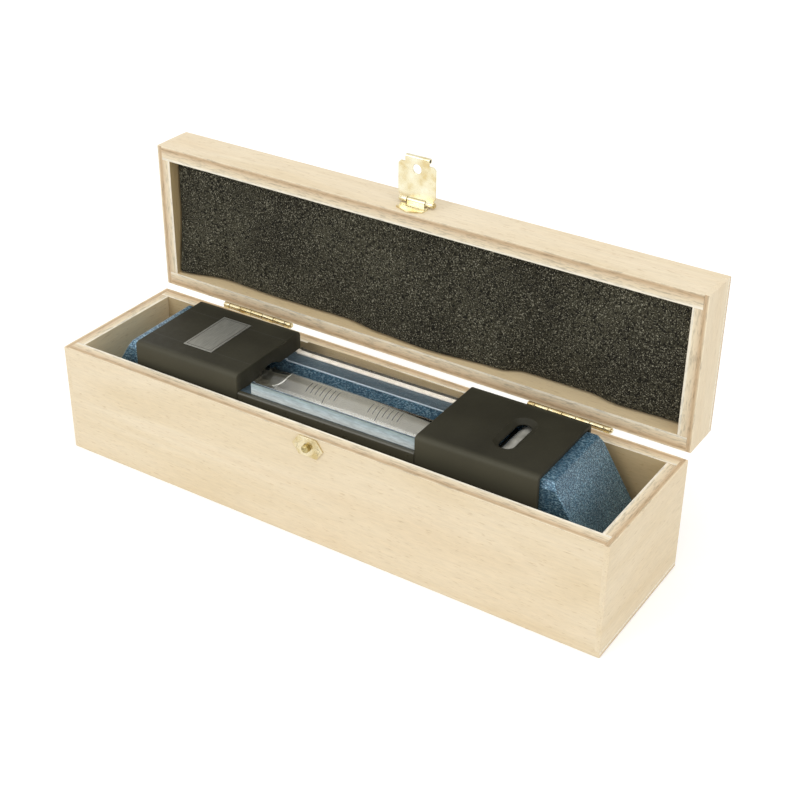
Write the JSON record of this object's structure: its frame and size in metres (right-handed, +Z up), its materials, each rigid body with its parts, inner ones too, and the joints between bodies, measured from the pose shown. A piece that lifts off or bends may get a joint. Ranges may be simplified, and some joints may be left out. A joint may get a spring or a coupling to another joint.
{
  "type": "precision spirit level",
  "caption": "Bar-type precision spirit level with a windowed main vial and a cross vial, lying in its hinged wooden case with foam lid lining, hasp and catch.",
  "frame": {"origin": "centre of the wooden case's underside", "axes": "+X along the level towards the cross vial, +Y towards the lid hinges, +Z up"},
  "size_m": [0.224, 0.0786, 0.1214],
  "materials": {
    "wood": "bare pale plywood",
    "foam": "dark open-cell foam",
    "brass": "bright pale brass plate",
    "painted_iron": "blue hammer-finish paint",
    "black_plastic": "satin black",
    "clear_plastic": "clear, polished",
    "label_metal": "satin, bare",
    "vial_glass": "polished",
    "vial_liquid": "clear",
    "carrier_metal": "machined",
    "cement": "matt plaster",
    "seal": "cream silicone",
    "steel": "machined",
    "bubble": "clear"
  },
  "bodies": {
    "case": {"case_bottom_panel": "wood", "case_front_board": "wood", "case_back_board": "wood", "case_left_board": "wood", "case_right_board": "wood", "base_pad": "foam", "left_hinge_base_leaf": "brass", "right_hinge_base_leaf": "brass", "left_hinge_pin": "brass", "right_hinge_pin": "brass", "hinge_base_nails": "brass", "catch_plate": "brass", "catch_stud": "brass", "catch_nails": "brass"},
    "lid": {"lid_top_panel": "wood", "lid_front_board": "wood", "lid_back_board": "wood", "lid_left_board": "wood", "lid_right_board": "wood", "lid_foam": "foam", "left_hinge_lid_leaf": "brass", "right_hinge_lid_leaf": "brass", "hinge_lid_nails": "brass", "hasp_plate": "brass", "hasp_pin": "brass", "hasp_nails": "brass"},
    "hasp": {"hasp_flap": "brass"},
    "level": {"level_body": "painted_iron", "left_cover": "black_plastic", "right_cover": "black_plastic", "front_rail": "black_plastic", "rear_rail": "black_plastic", "cover_screws": "steel", "rail_screws": "steel", "front_window_seal": "seal", "rear_window_seal": "seal", "window": "clear_plastic", "label_plate": "label_metal", "cross_vial": "vial_glass", "cross_vial_liquid": "vial_liquid", "cross_vial_plugs": "vial_glass", "cross_vial_saddle": "black_plastic", "carrier_pivot_pin": "steel", "screw_retainer": "steel", "retainer_screws": "steel", "carrier_spring": "steel"},
    "vial": {"vial_carrier": "carrier_metal", "main_vial": "vial_glass", "main_vial_liquid": "vial_liquid", "vial_end_plugs": "vial_glass", "vial_cement": "cement"},
    "screw": {"adjusting_screw": "steel"},
    "bubble": {"main_bubble": "bubble"},
    "small_bubble": {"cross_bubble": "bubble"}
  },
  "joints": [
    {"name": "lid_hinge", "type": "hinge", "parent": "case", "child": "lid", "pos_m": [0, 0.03035, 0.044], "axis": [-1, 0, 0], "range_deg": [-90, 0], "deforming": ["lid_foam"]},
    {"name": "hasp_hinge", "type": "hinge", "parent": "lid", "child": "hasp", "pos_m": [-0.00045, 0.0378, 0.1047], "axis": [-1, 0, 0], "range_deg": [-90, 90]},
    {"name": "level_lift", "type": "slide", "parent": "case", "child": "level", "axis": [0, 0, 1], "range_m": [0, 0.06]},
    {"name": "vial_tilt", "type": "hinge", "parent": "level", "child": "vial", "pos_m": [0.04479, 0.00042, 0.0264], "axis": [-0.0201, 0.9998, 0], "range_deg": [-0.27, 0.27], "deforming": ["carrier_spring"]},
    {"name": "adjusting_screw_turn", "type": "hinge", "parent": "level", "child": "screw", "pos_m": [-0.06119, -0.0017, 0.035], "axis": [0, 0, 1], "range_deg": [-360, 360]},
    {"name": "bubble_travel", "type": "slide", "parent": "vial", "child": "bubble", "axis": [0.9998, 0.0201, 0], "range_m": [0, 0.0744]},
    {"name": "cross_bubble_travel", "type": "slide", "parent": "level", "child": "small_bubble", "axis": [-0.0201, 0.9998, 0], "range_m": [-0.0057, 0.0057]}
  ],
  "couplings": [
    {"joint": "adjusting_screw_turn", "follows": "vial_tilt", "ratio": -1332}
  ]
}
